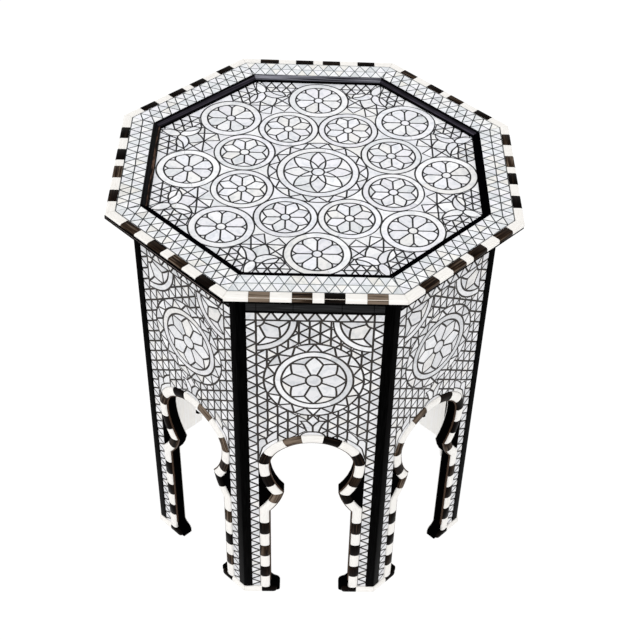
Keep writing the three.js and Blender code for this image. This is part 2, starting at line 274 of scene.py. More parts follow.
def makeDarkWood(name, highlightAt=None):
    # Polished dark wood of the ebony kind: some blocks near black, others streaked with grey-brown.
    material, shader = newMaterial(name, "#1b130d", 0.34, specular=0.02)
    tone, grainPlace, moved = blockGrain(material, 0.05)
    streaks = addNode(material, "TexNoise", {
        "Vector": moved, "Scale": 420.0, "Detail": 4.0, "Roughness": 0.6})
    # the first number of the tone says how pale the block is
    paleness = addNode(material, "SeparateXYZ", {"Vector": tone}).outputs["X"]
    lifted = addNode(material, "Math", {0: paleness, 1: 0.5, 2: -0.2}, operation="MULTIPLY_ADD")
    raised = addNode(material, "Math", {0: streaks, 1: lifted}, operation="ADD")
    tint = addNode(material, "ValToRGB", {"Fac": raised}, [
        (0.3, "#060403"), (0.46, "#140d09"), (0.6, "#30241a"), (0.8, "#7c6d5f")])
    colour = tint.outputs["Color"]
    if highlightAt:
        # a painted highlight: a thin pale line along the arris, where its rounding would catch the light,
        # broken up by the streaks
        level = addNode(material, "SeparateXYZ", {"Vector": grainPlace}).outputs["Z"]
        line = addNode(material, "Math", {0: level, 1: highlightAt * mm, 2: 0.17 * mm}, operation="COMPARE")
        highlightStrength = addNode(material, "MapRange", {
            "Value": streaks, "From Min": 0.35, "From Max": 0.65, "To Min": 1.0, "To Max": 0.5})
        amount = addNode(material, "Math", {0: line, 1: highlightStrength}, operation="MULTIPLY")
        mixed = addNode(material, "Mix", {0: amount, 6: colour, 7: hexColour("#e6dcd0")}, data_type="RGBA")
        colour = mixed.outputs[2]
    bump = addNode(material, "Bump", {"Strength": 0.1, "Distance": 0.0003, "Height": streaks})
    feed(material, shader, {"Base Color": colour, "Normal": bump})
    return material


def makeBoardFinish(name, front, woodDark, woodPale, shine=0.02):
    # Boards and edges: one finish in front and wood behind it, told apart by how far out they lie.
    material, shader = newMaterial(name, front, 0.35, specular=shine)
    place = addNode(material, "TexCoord").outputs["Object"]
    apothem, _ = apothemOf(material, place)
    outside = addNode(material, "MapRange", {
        "Value": apothem, "From Min": (boardBack + 0.2) * mm, "From Max": (boardBack + 0.9) * mm})
    stretch = addNode(material, "Mapping", {"Scale": (1.0, 1.0, 0.05), "Vector": place})
    grain, wood = noisePattern(material, stretch, 380.0, 5.0, [(0.3, woodDark), (0.72, woodPale)])
    mixed = addNode(material, "Mix", {0: outside, 6: wood, 7: hexColour(front)}, data_type="RGBA")
    rough = addNode(material, "MapRange", {"Value": outside, "To Min": 0.62, "To Max": 0.32})
    bump = addNode(material, "Bump", {"Strength": 0.15, "Distance": 0.0003, "Height": grain})
    feed(material, shader, {"Base Color": mixed.outputs[2], "Roughness": rough, "Normal": bump})
    return material


pearl = makePearl("polished_mother_of_pearl", "#e9ebee")
pearlBlue = makePearl("bluish_mother_of_pearl", "#ebedef")
mastic = makeMastic("dark_mastic", "#1e1a17", "#332d28")
trayMastic = makeMastic("black_mastic", "#121213", "#232224")
masticPale = makeMastic("grey_mastic", "#4d5557", "#697072")
masticSlate = makeMastic("slate_mastic", "#1b2021", "#2f3637")
lacquer = makeLacquer("black_lacquer_gloss", "#010101", "#090909", 0.18, 0.004)
mouldingLacquer = makeLacquer("black_lacquer_moulding", "#010102", "#060608", 0.2, 0.0)
# the far runs' marks are painted reflection, grey on the back run and fainter on the two beside it; the left
# run's are wear
paintedReflectionLacquer = makeReflectionAndWearLacquer(
    "black_lacquer_painted_reflection", [(0.36, "#222228"), (0.5, "#66666e"), (0.64, "#8e8e97")], 0.06, 0.8, 0.03, 0.0)
faintReflectionLacquer = makeReflectionAndWearLacquer(
    "black_lacquer_faint_painted_reflection", [(0.36, "#141217"), (0.5, "#2e2b33"), (0.64, "#45414b")], 0.06, 0.6, 0.03, 0.25)
wornLacquer = makeReflectionAndWearLacquer(
    "worn_black_lacquer", [(0.4, "#0b0706"), (0.52, "#3f2d24"), (0.66, "#6e5546")], 0.0, 0.36, 0.06, 0.8)
# black lacquer coloured dark grey: painted sheen
friezeSheenLacquer = makeLacquer("black_lacquer_painted_sheen", "#0b0b0b", "#303032", 0.42, 0.08, (0.05, 0.05, 1.0))
bone = makeBone("polished_bone")
darkWood = makeDarkWood("polished_dark_wood")
# for the front side's rim blocks, with a painted highlight along the arris
arrisHighlightWood = makeDarkWood("dark_wood_painted_arris_highlight", borderTop - 0.34)
boardFinish = makeBoardFinish("lacquered_board", "#030303", "#f9f6f1", "#ffffff", 0.0)
edgeWood = makeBoardFinish("bare_edge_wood", "#45352a", "#3b2d23", "#5c4a3c")
# pale finish for the step in the edge lip: a painted highlight
edgeHighlight = makeBoardFinish("edge_wood_painted_highlight", "#7e7370", "#70665f", "#948a86")
frameWood = makeBoardFinish("stained_frame_wood", "#2a1e16", "#241a13", "#463427")
print("materials made")


# Drawing in the plane of a side or of the tray: points are pairs of millimetres.
def polar(centre, radius, degrees):
    angle = math.radians(degrees)
    return (centre[0] + radius * math.cos(angle), centre[1] + radius * math.sin(angle))


def arc(centre, radius, start, end, steps):
    return [polar(centre, radius, start + (end - start) * i / steps) for i in range(steps + 1)]


def circle(centre, radius, steps=64):
    # 64 corners, so that spokes and points at sixteenths of a turn meet them
    return arc(centre, radius, 0, 360, steps)[:-1]


def closed(points):
    return points + points[:1]


def pairs(loop):
    return zip(loop, loop[1:] + loop[:1])


def bow(a, b, sag, steps):
    # A bent line from a to b that swells to the left of the way by sag.
    along = Vector(b) - Vector(a)
    left = Vector((-along.y, along.x)).normalized()
    shares = [i / steps for i in range(steps + 1)]
    return [tuple(Vector(a) + along * share + left * (sag * 4 * share * (1 - share))) for share in shares]


def smoothed(points, cuts=2):
    # A smooth curve through all the points.
    smooth = points[:1]
    for i in range(len(points) - 1):
        p0, p1, p2, p3 = (Vector(points[max(0, min(len(points) - 1, j))]) for j in (i - 1, i, i + 1, i + 2))
        for c in range(1, cuts + 1):
            t = c / cuts
            smooth.append(tuple(0.5 * (2 * p1 + (p2 - p0) * t + (2 * p0 - 5 * p1 + 4 * p2 - p3) * t ** 2
                                       + (3 * p1 - p0 - 3 * p2 + p3) * t ** 3)))
    return smooth


def turned(points, degrees):
    angle = math.radians(degrees)
    c, s = math.cos(angle), math.sin(angle)
    return [(x * c - y * s, x * s + y * c) for x, y in points]


def flipped(points):
    return [(-x, y) for x, y in reversed(points)]


def isInside(place, outline):
    odd = False
    for a, b in pairs(outline):
        if (a[1] > place[1]) != (b[1] > place[1]):
            if place[0] < (b[0] - a[0]) * (place[1] - a[1]) / (b[1] - a[1]) + a[0]:
                odd = not odd
    return odd


def crossingShares(a, b, outline):
    # How far along a to b it crosses the outline, as shares of its length.
    shares = []
    ux, uy = b[0] - a[0], b[1] - a[1]
    for c, d in pairs(outline):
        vx, vy = d[0] - c[0], d[1] - c[1]
        turn = ux * vy - uy * vx
        if abs(turn) > 1e-9:
            wx, wy = c[0] - a[0], c[1] - a[1]
            share = (wx * vy - wy * vx) / turn
            if 0 < share < 1 and 0 <= (wx * uy - wy * ux) / turn <= 1:
                shares.append(share)
    return shares


def trimmed(line, outlines, inside=False):
    # The stretches of a line that lie outside every outline, or inside one of them.
    kept = []
    for a, b in zip(line, line[1:]):
        shares = sorted({0, 1}.union(*(crossingShares(a, b, outline) for outline in outlines)))
        for start, end in zip(shares, shares[1:]):
            at = [(a[0] + (b[0] - a[0]) * s, a[1] + (b[1] - a[1]) * s)
                  for s in (start, (start + end) / 2, end)]
            if any(isInside(at[1], outline) for outline in outlines) == inside:
                kept.append([at[0], at[2]])
    return kept


def inWidth(shapes, width):
    return [(points, width) for points in shapes]


# Cutting a sheet into tiles along drawn lines, and laying them.
joint = {
    "wide": 1.85, "sideWide": 2.28, "seam": 0.16, "rim": 0.3,
    "chamfer": 0.12, "depth": 0.28, "root": 0.9,
    "smallest": 0.9,    # mm2 of a tile that is still laid
    "neck": 0.9,        # a cell narrower than this at its waist is parted there
    "worthParting": 3,  # mm2 of such a cell, and mm round each part of it
    "due": 0.85,        # the least share of what its joints should leave of a cell
    "tighter": (1, 0.7, 0.45, 0.25),
}
laying = {
    "push": 0.45, "wave": 17,  # how far joints wander, and over what length
    "still": 3,                # this near the outline they come to rest
    "lift": 0.03, "lean": 0.035, "shades": (0.9, 1.02), "seed": 7,
}
shortest = 0.01  # mm, below which a side counts as a point
noise.seed_set(laying["seed"])  # or the joints would wander another way in every run


def cutSheet(outline, lines):
    # Lines are points and joint width. Returns tiles, each with its corners and half joints.
    places, known, joints = [], {}, {}

    def corner(p):
        key = (round(p[0], 3), round(p[1], 3))
        if key not in known:
            known[key] = len(places)
            places.append(Vector(key))
        return known[key]

    rim = [corner(p) for p in outline]
    for points, width in lines + [(closed(outline), joint["rim"])]:
        for a, b in zip(points, points[1:]):
            ends = tuple(sorted((corner(a), corner(b))))
            if ends[0] != ends[1]:
                joints[ends] = max(width, joints.get(ends, 0))
    order = list(joints)
    corners, edges, faces, _, sources, owners = geometry.delaunay_2d_cdt(places, order, [rim], 4, 0.03)
    widths = {}
    for ends, made in zip(edges, sources):
        found = [joints[order[s]] for s in made if s < len(order)]
        widths[tuple(sorted(ends))] = max(found, default=joint["seam"])
    return [([corners[i] for i in face],
             [widths.get(tuple(sorted(ends)), joint["seam"]) / 2 for ends in pairs(face)])
            for face, owner in zip(faces, owners) if owner]


def loopArea(loop):
    return sum(a.x * b.y - a.y * b.x for a, b in pairs(loop)) / 2


def insetTile(loop, widths):
    # Every side moves in by its half joint, all at one time. A side that shrinks to nothing on the way is
    # dropped there and its neighbours go on, so narrow ends are cut back and never turn inside out.
    if loopArea(loop) < 0:
        loop, widths = loop[::-1], widths[::-1][1:] + widths[::-1][:1]
    sides = [(a, ((b - a).normalized(), width))
             for (a, b), width in zip(pairs(loop), widths) if (b - a).length > shortest]
    places, walls = [a for a, _ in sides], [wall for _, wall in sides]
    left = 1.0
    while len(walls) > 2:
        targets = []
        for (wayA, widthA), (wayB, widthB) in zip(walls[-1:] + walls[:-1], walls):
            turn = wayA.x * wayB.y - wayA.y * wayB.x
            if abs(turn) < 0.05 and wayA.dot(wayB) > 0:
                # all but straight on
                targets.append((Vector((-wayA.y, wayA.x)) * widthA + Vector((-wayB.y, wayB.x)) * widthB) / 2)
            elif abs(turn) < 0.002:
                # a spike
                targets.append(wayB * 50)
            else:
                # where the two moved lines meet: shares along both old ways
                targets.append((wayB * widthA - wayA * widthB) / turn)
        soonest, which = left, None
        for i, (way, _) in enumerate(walls):
            j = (i + 1) % len(walls)
            run = (places[j] - places[i]).dot(way) - shortest
            shrink = (targets[i] - targets[j]).dot(way)
            if shrink > 1e-6 and run / shrink < soonest:
                soonest, which = max(0.0, run / shrink), i
        places = [place + target * soonest for place, target in zip(places, targets)]
        left -= soonest
        if which is None:
            return places
        after = (which + 1) % len(walls)
        places[after] = (places[which] + places[after]) / 2
        del places[which], walls[which]
    return []


def isSimple(loop):
    # Whether no side of the loop crosses another one.
    sides = list(pairs(loop))
    return not any(geometry.intersect_line_line_2d(*sides[i], *sides[j])
                   for i in range(len(loop) - 2) for j in range(i + 2, len(loop) - (i == 0)))


def partedAtNeck(loop, widths):
    # A cell that is all but pinched in two is parted there: the two parts, or nothing.
    count = len(loop)
    sides = list(pairs(loop))
    runs = [(b - a).length for a, b in sides]
    best = None
    for i in range(count):
        for steps in range(1, count - 1):
            j = (i + steps) % count
            a, b = sides[j]
            if runs[j] < shortest:
                continue
            share = max(0, min(1, (loop[i] - a).dot(b - a) / (b - a).length_squared))
            foot = a + (b - a) * share
            gap = (foot - loop[i]).length
            there = sum(runs[(i + n) % count] for n in range(steps)) + runs[j] * share
            isNeck = gap < joint["neck"] and min(there, sum(runs) - there) > joint["worthParting"]
            if isNeck and (best is None or gap < best[0]):
                best = (gap, i, steps, foot)
    if best is None:
        return []
    _, i, steps, foot = best
    order = [(i + n) % count for n in range(count)]
    seam = joint["wide"] / 2
    near, far = order[:steps + 1], order[steps + 1:] + order[:1]
    return [
        ([loop[n] for n in near] + [foot], [widths[n] for n in near] + [seam]),
        ([foot] + [loop[n] for n in far], [widths[n] for n in order[steps:]] + [seam]),
    ]


def edgeDistance(place, outline):
    nearest = 1e9
    for a, b in pairs(outline):
        along = Vector(b) - Vector(a)
        share = max(0, min(1, (place - Vector(a)).dot(along) / along.length_squared))
        nearest = min(nearest, (place - Vector(a) - along * share).length)
    return nearest


def cutTiles(name, outline, lines):
    # Foot and top outlines of every tile that is large enough to be cut and laid, and how freely each
    # corner may be moved.
    tiles = cutSheet(outline, lines)
    forms = []
    waiting = list(tiles)
    while waiting:
        loop, widths = waiting.pop(0)
        lost = sum((b - a).length * width for (a, b), width in zip(pairs(loop), widths))
        for share in joint["tighter"]:
            # a piece with a narrow waist is cut with tighter joints
            foot = insetTile(loop, [width * share for width in widths])
            due = max(joint["smallest"], joint["due"] * (abs(loopArea(loop)) - lost * share))
            fits = len(foot) > 2 and loopArea(foot) >= due and all(isInside(p, loop) for p in foot)
            if fits and isSimple(foot):
                break
        else:
            if abs(loopArea(loop)) > joint["worthParting"]:
                waiting += partedAtNeck(loop, widths)
            continue
        middle = sum(foot, Vector((0, 0))) / len(foot)
        top = insetTile(foot, [joint["chamfer"]] * len(foot))
        if len(top) != len(foot):
            top = [p + (middle - p).normalized() * joint["chamfer"] for p in foot]
        forms.append((foot, top, [min(1, edgeDistance(p, outline) / laying["still"]) for p in foot]))
    print(name, "inlay:", len(tiles), "cells,", len(forms), "tiles")
    return forms


def layTiles(forms, seed, placeOf, material, tones):
    # One mesh of many small closed slabs, each with an eased top edge.
    chance = random.Random(seed)
    corners, faces, shifts, tilts, toneRows = [], [], [], [], []
    drift = Vector((chance.uniform(-50, 50), chance.uniform(-50, 50), 0))
    for foot, top, fade in forms:
        count, first = len(foot), len(corners)
        lift = chance.uniform(-laying["lift"], laying["lift"])
        for loop, level in ((foot, -joint["root"]), (foot, lift - joint["chamfer"]), (top, lift)):
            for p, free in zip(loop, fade):
                push = noise.noise_vector(Vector((p.x, p.y, 0)) / laying["wave"] + drift)
                push *= laying["push"] * free
                corners.append(placeOf(p.x + push.x, p.y + push.y, level))
        faces.append(list(range(first + count - 1, first - 1, -1)))
        faces.append(list(range(first + 2 * count, first + 3 * count)))
        around = list(pairs(list(range(count))))
        for ring in (first, first + count):
            faces += [[ring + i, ring + j, ring + count + j, ring + count + i] for i, j in around]
        colour = Vector(hexColour(chance.choice(tones))[:3]) * chance.uniform(*laying["shades"])
        shift = [chance.uniform(-3, 3) for _ in range(3)]
        tilt = [chance.uniform(-laying["lean"], laying["lean"]) for _ in range(3)]
        toneRows += [*[min(1, c) for c in colour], 1] * (2 + 2 * count)
        shifts += shift * (2 + 2 * count)
        tilts += tilt * (2 + 2 * count)
    data = bpy.data.meshes.new("tiles")
    data.from_pydata(corners, [], faces)
    data.materials.append(material)
    data.attributes.new("tileTone", "FLOAT_COLOR", "FACE").data.foreach_set("color", toneRows)
    for name, rows in (("tileShift", shifts), ("tileTilt", tilts)):
        data.attributes.new(name, "FLOAT_VECTOR", "FACE").data.foreach_set("vector", rows)
    piece = bpy.data.objects.new("tiles", data)
    bpy.context.collection.objects.link(piece)
    return piece


def selectOnly(piece):
    deselectAll()
    bpy.context.view_layer.objects.active = piece
    piece.select_set(True)


# Modelling by hand: a face is drawn at the first ring and extruded from ring to ring.
def sweepRings(name, rings, material):
    deselectAll()
    bpy.ops.mesh.primitive_circle_add(vertices=len(rings[0]), radius=0.01, fill_type="NGON")
    piece = bpy.context.object
    piece.name = name
    bpy.ops.object.mode_set(mode="EDIT")
    form = bmesh.from_edit_mesh(piece.data)
    form.verts.ensure_lookup_table()
    for vert, place in zip(form.verts, rings[0]):
        vert.co = place
    for last, ring in zip(rings, rings[1:]):
        bmesh.update_edit_mesh(piece.data)
        bpy.ops.mesh.extrude_region_move()
        form = bmesh.from_edit_mesh(piece.data)
        for vert in [v for v in form.verts if v.select]:
            near = min(range(len(last)), key=lambda i: (vert.co - last[i]).length_squared)
            vert.co = ring[near]
    bmesh.update_edit_mesh(piece.data)
    bpy.ops.mesh.select_all(action="SELECT")
    bpy.ops.mesh.normals_make_consistent(inside=False)
    bpy.ops.object.mode_set(mode="OBJECT")
    piece.data.materials.append(material)
    return piece


def easeEdges(piece, width, steps=2, angle=35):
    # Rounds every edge that turns by more than the angle.
    selectOnly(piece)
    bpy.ops.object.mode_set(mode="EDIT")
    bpy.ops.mesh.select_all(action="DESELECT")
    bpy.context.tool_settings.mesh_select_mode = (False, True, False)
    form = bmesh.from_edit_mesh(piece.data)
    for edge in form.edges:
        edge.select = len(edge.link_faces) == 2 and edge.calc_face_angle(0) > math.radians(angle)
    bmesh.update_edit_mesh(piece.data)
    bpy.ops.mesh.bevel(offset=width * mm, segments=steps, affect="EDGES")
    bpy.ops.object.mode_set(mode="OBJECT")
    bpy.context.tool_settings.mesh_select_mode = (True, False, False)


def smoothFaces(piece, angle=30):
    selectOnly(piece)
    bpy.ops.object.shade_smooth_by_angle(angle=math.radians(angle))


def joinPieces(name, parts):
    selectOnly(parts[0])
    for part in parts:
        part.select_set(True)
    bpy.ops.object.join()
    piece = bpy.context.object
    piece.name = name
    return piece


def turnPiece(piece, sides):
    # Turned about the table's axis by so many sides, with the turn applied.
    selectOnly(piece)
    piece.rotation_euler.z = math.radians(sides * sideTurn)
    bpy.ops.object.transform_apply(location=False, rotation=True, scale=False)
    return piece


def settle(piece, slotName, *nodes):
    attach(piece, "root")
    if nodes:
        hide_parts(*nodes)


def layRound(whole, name, slotName, nodeName=None, corners=False):
    # A copy with its own mesh for each side, or each corner, in place of the piece itself.
    copies = []
    for k in range(sideCount):
        selectOnly(whole)
        bpy.ops.object.duplicate()
        copy = turnPiece(bpy.context.object, k + 0.5 * corners)
        copy.name = f"{name}_{k + 1}"
        settle(copy, slotName, *([f"{nodeName}_{k + 1}"] if nodeName else []))
        copies.append(copy)
    bpy.data.objects.remove(whole, do_unlink=True)
    print(name, "made")
    return copies


# Arch of a side, as in the frame: four arcs on each half, from the crown down to the leg.
arch = {
    "half": sideHalf - 32.6, "crownHeight": 275.5, "crownRadius": 55, "crownSweep": 42.03,
    "cuspHeight": 190.5, "cuspReach": 16.2, "underRadius": 80, "haunchHeight": 157,
    "bareEdge": 1.2, "bandWidth": 11.5,
}


def circleCrossing(centreA, radiusA, centreB, radiusB, turn):
    away = Vector(centreB) - Vector(centreA)
    distance = away.length
    along = (radiusA ** 2 - radiusB ** 2 + distance ** 2) / (2 * distance)
    across = math.sqrt(max(radiusA ** 2 - along ** 2, 0))
    away.normalize()
    return tuple(Vector(centreA) + away * along + Vector((-away.y, away.x)) * (turn * across))


def archHalf(offset, legEnd, steps):
    # Right half of the arch, moved out into the wood by an offset. Steps are for the four arcs. The points
    # of two offsets lie square across from each other, but for the ends of the arcs, which are mitred.
    half, crown, reach, under = (arch[key] for key in ("half", "crownRadius", "cuspReach", "underRadius"))
    crownAngle = 90 - arch["crownSweep"]
    crownCentre = (0, arch["crownHeight"] - crown)
    share = math.cos(math.radians(crownAngle))
    shoulderRadius = (half - crown * share) / (1 - share)
    shoulderCentre = polar(crownCentre, crown - shoulderRadius, crownAngle)
    tip = (half - reach, arch["cuspHeight"])
    haunchRadius = ((shoulderCentre[1] - tip[1]) ** 2 + reach ** 2) / (2 * reach)
    haunchCentre = (half - haunchRadius, shoulderCentre[1])
    underCentre = circleCrossing(tip, under, (half, arch["haunchHeight"]), under, 1)

    def angleAt(centre, p):
        return math.degrees(math.atan2(p[1] - centre[1], p[0] - centre[0]))

    def ends(moved):
        tip = circleCrossing(haunchCentre, haunchRadius + moved, underCentre, under - moved, -1)
        away = underCentre[0] - (half + moved)
        bend = (half + moved, underCentre[1] - math.sqrt((under - moved) ** 2 - away ** 2))
        turns = [angleAt(haunchCentre, tip)] + [angleAt(underCentre, p) % 360 for p in (tip, bend)]
        return turns, bend

    (haunchEnd, _, _), bend = ends(offset)
    inner, outer = (ends(moved)[0] for moved in (arch["bareEdge"], arch["bareEdge"] + arch["bandWidth"]))
    haunchShared = max(inner[0], outer[0]) * 0.97
    underShared = max(inner[1], outer[1]) + 1.0, min(inner[2], outer[2]) - 1.0
    return (
        arc(crownCentre, crown + offset, 90, crownAngle, steps[0])
        + arc(shoulderCentre, shoulderRadius + offset, crownAngle, 0, steps[1])[1:]
        + arc(haunchCentre, haunchRadius + offset, 0, haunchShared, steps[2])[1:]
        + [polar(haunchCentre, haunchRadius + offset, haunchEnd)]
        + arc(underCentre, under - offset, *underShared, steps[3])
        + [bend, (bend[0], arch["haunchHeight"] - 14), (bend[0], legEnd)]
    )


# Roundels: a plain ring round a flower of eight petals with a dot at its middle.
def ringLines(centre, size, wide):
    rings = (size["outer"], 64), (size["inner"], 64), (size["dot"], 32)
    return inWidth([closed(circle(centre, radius, steps)) for radius, steps in rings], wide)


def roundel(centre, size, forkTurn, spokesAt, wide):
    lines = ringLines(centre, size, wide)
    for k in range(8):
        spoke = spokesAt + 45 * k
        end = polar(centre, size["spokeEnd"], spoke)
        lines.append(([polar(centre, size["dot"], spoke), end], wide))
        for side in (-1, 1):
            swell = -side * (0.6 if forkTurn > 20 else 0.9)
            lines.append((bow(end, polar(centre, size["inner"], spoke + side * forkTurn), swell, 4), wide))
    return lines


def rosette(centre, size, wide):
    # Eight pointed petals: two bent lines for each, from the dot an eighth of a turn away to its tip.
    lines = ringLines(centre, size, wide)
    start = size["dot"] + 2.2
    for k in range(8):
        at = 45 * k
        lines.append(([polar(centre, size["dot"], at), polar(centre, start, at)], wide))
        for side in (-1, 1):
            foot = polar(centre, start, at + side * 45)
            lines.append((bow(foot, polar(centre, size["inner"], at), side * 4.9, 8), wide))
    return lines


def ringSeams(centre, size, chance, count):
    start = chance.randrange(64)
    places = [(start + round(64 * k / count)) * 360 / 64 for k in range(count)]
    return inWidth([[polar(centre, size["inner"], at), polar(centre, size["outer"], at)] for at in places],
                   joint["seam"])


def zigzagRing(centre, size, innerAt, wide):
    lines = []
    for k in range(16):
        foot = polar(centre, size["outer"], innerAt + 22.5 * k)
        for side in (-1, 1):
            lines.append(([foot, polar(centre, size["ring"], innerAt + 22.5 * k + side * 11.25)], wide))
    return lines


# Mosaic of a side: its middle roundel, quarter roundels in the upper corners, the plain strip round the arch
# with leaves and a flower on it, and a grid of triangles.
sideInlay = {
    "edgeColumn": 60.5, "columnPitch": 11.0, "topRow": 458.5, "topPitch": 15.0,
    "nodeStart": 449.3, "nodePitch": 15.35, "legPitch": (12.3, 14.4), "pitchChange": 285,
    "centre": (0, 373), "roundel": {"outer": 42.3, "inner": 34.7, "dot": 8.5, "spokeEnd": 25.3, "ring": 53.4},
    "stripWidth": 4.6, "leafEdge": 38.5, "leafTop": 294.8, "leafSide": (51.8, 280.5), "lobeFoot": 276.5,
    "cap": [(0, 293.6), (4.5, 293.4), (8.5, 292.2), (12.0, 289.6), (14.2, 286.0)],
    "petal": [(7.0, 310.6), (14.0, 310.4), (10.2, 304.3), (8.0, 297.8), (5.8, 291.0)],
    # a darker, greyer copy of the tray's tones: painted shade of the upright sides
    "tones": ["#ececee", "#e8e8ea", "#ebeaec", "#e6e6e8", "#efeff0", "#f5f5f6", "#dcdddf", "#eeece9",
              "#ececee", "#f7f7f8", "#e9e9eb"],
}


def nodeHeights(start):
    # Rows of the triangle grid from the head down: even near the head, closer together on the legs.
    heights, height = [], start
    while height > veneerFoot - 20:
        heights.append(height)
        if height > sideInlay["pitchChange"]:
            height -= sideInlay["nodePitch"]
        else:
            low, high = sideInlay["legPitch"]
            height -= low + (high - low) * max(height, 0) / sideInlay["pitchChange"]
    return heights


def sideLines():
    wide, size, centre = joint["sideWide"], sideInlay["roundel"], sideInlay["centre"]
    edge, top, pitch = sideInlay["edgeColumn"], sideInlay["topRow"], sideInlay["topPitch"]
    ring = circle(centre, size["ring"])
    lines = roundel(centre, size, 22.5, 22.5, wide) + zigzagRing(centre, size, 11.25, wide)
    lines += ringSeams(centre, size, random.Random(5), 3) + [(closed(ring), wide)]
    masks = [ring]
    field = [(-edge, -100), (edge, -100), (edge, top), (-edge, top)]
    for side in (-1, 1):
        for points, width in roundel((side * edge, top), size, 22.5, 22.5, wide):
            lines += inWidth(trimmed(points, [field], inside=True), width)
        masks.append(circle((side * edge, top), size["outer"]))
    # the plain strip round the arch, and the leaf shapes that stand on it
    leafEdge, leafSide, cap, petal = (sideInlay[key] for key in ("leafEdge", "leafSide", "cap", "petal"))
    strip = archHalf(arch["bareEdge"] + arch["bandWidth"] + sideInlay["stripWidth"], 100, (24, 8, 6, 4))[:33]
    crossing = next(i for i, p in enumerate(strip) if p[0] > leafEdge)
    before, after = Vector(strip[crossing - 1]), Vector(strip[crossing])
    stripHead = before.lerp(after, (leafEdge - before.x) / (after.x - before.x))
    strip = [tuple(stripHead)] + [p for p in strip[crossing:] if p[0] < edge - 3.5] + [(edge, 246.0)]
    capArea = flipped(cap)[:-1] + cap + [(0, 280)]
    leaf = bow((leafEdge, sideInlay["leafTop"]), leafSide, 1.6, 5)
    lobe = bow(leafSide, (edge, sideInlay["lobeFoot"]), 2.4, 4)
    flower = [(0, centre[1] - size["ring"])] + petal
    for side in (1, -1):
        shapes = [strip, [(leafEdge, 270), leaf[0]], leaf, lobe, cap]
        shapes += trimmed([leafSide, (49.6, 270)], [strip + [(leafEdge, 230)]])
        shapes += trimmed(flower, [capArea]) + trimmed([(0, 290), (0, 302)], [capArea])
        shapes.append(bow((0, 302.0), petal[0], 0.7, 4))
        lines += inWidth([[(side * x, y) for x, y in points] for points in shapes], wide)
        area = [(leafEdge, 240)] + leaf + lobe[1:] + [(edge, 236)]
        masks.append([(side * x, y) for x, y in area][::side])
    masks += [flower + flipped(flower)[:-1], capArea]
    # triangle grid: columns, and rows of crossing diagonals
    count = round(2 * edge / sideInlay["columnPitch"])
    columns = [-edge + 2 * edge * i / count for i in range(count + 1)]
    first, second = (nodeHeights(sideInlay["nodeStart"] + sideInlay["nodePitch"] * part) for part in (0.5, 1))
    for i, (x, nextX) in enumerate(zip(columns, columns[1:])):
        if i:
            lines += inWidth(trimmed([(x, 200), (x, top)], masks), wide)
        here, there = (second, first) if i % 2 else (first, second)
        others = zip(here[1:], there[:-1]) if i % 2 else zip(here[:-1], there[1:])
        for a, b in [*zip(here, there), *others]:
            for part in trimmed([(x, a), (nextX, b)], masks):
                lines += inWidth(trimmed(part, [field], inside=True), wide)
    lines += inWidth([[(side * edge, -20), (side * edge, veneerTop + 2)] for side in (-1, 1)], wide)
    # edge columns of triangles
    outer = veneerHalf + 1.5
    sheet = [(-outer - 1, -100), (outer + 1, -100), (outer + 1, top), (-outer - 1, top)]
    for side, rows in ((-1, first), (1, second)):
        for a, b in zip(rows, rows[1:]):
            zig = [(side * edge, a), (side * outer, (a + b) / 2), (side * edge, b)]
            lines += inWidth(trimmed(zig, [sheet], inside=True), wide)
    # the row of triangles under the frieze
    lines.append(([(-outer, top), (outer, top)], wide))
    for foot in [(k + 0.5) * pitch for k in range(-4, 4)]:
        lines += inWidth([[(foot, top), (foot + side * pitch / 2, veneerTop + 1)] for side in (-1, 1)], wide)
    return lines


def layInlay(name, outline, forms, seed, placeOf, levels, shell, filler, tones):
    # Tiles in a bed of mastic, whose foot and top levels are given.
    tiles = layTiles(forms, seed, placeOf, shell, tones)
    bed = sweepRings("bed", [[placeOf(x, y, level) for x, y in outline] for level in levels], filler)
    return joinPieces(name, [bed, tiles])


def makeSideInlays():
    offset = arch["bareEdge"] + arch["bandWidth"] + 0.3
    half = archHalf(offset, veneerFoot, (14, 12, 1, 1))[:27]
    half += [(arch["half"] + offset, veneerFoot), (veneerHalf, veneerFoot), (veneerHalf, veneerTop)]
    outline = flipped(half) + half[1:]
    forms = cutTiles("side", outline, sideLines())

    def toSide(x, z, level):
        return metres(x, -(faceOut + level), z)

    for k in range(sideCount):
        whole = layInlay(f"panel_inlay_{k + 1}", outline, forms, 40 + k, toSide, (-letIn, -joint["depth"]),
                         pearl, mastic, sideInlay["tones"])
        settle(turnPiece(whole, k), "mother_of_pearl", f"panel_mosaic_{k + 1}")


# Mosaic of the tray: a rosette, rings of roundels round it and a flower in each corner.
trayInlay = {
    "shift": (1.0, -1.3),
    "inner": {"distance": 88.5, "outer": 33.8, "inner": 26.8, "dot": 5.2, "spokeEnd": 19.4},
    "outer": {"distance": 141.7, "outer": 34.7, "inner": 26.6, "dot": 5.2, "spokeEnd": 20.4},
    "centre": {"outer": 45.0, "inner": 37.4, "dot": 6.8, "ring": 55.0},
    "rows": (166.8, 157.3, 147.8), "rowPitch": 11.9, "nodeAt": 50.2,
    "tones": ["#f8f8fc", "#f4f5f9", "#f6f5fa", "#f3f3f7", "#fafafb", "#fcfcfd", "#eceef0", "#f8f7f5",
              "#f8f8fc", "#fdfdfe", "#f5f6fa"],
}


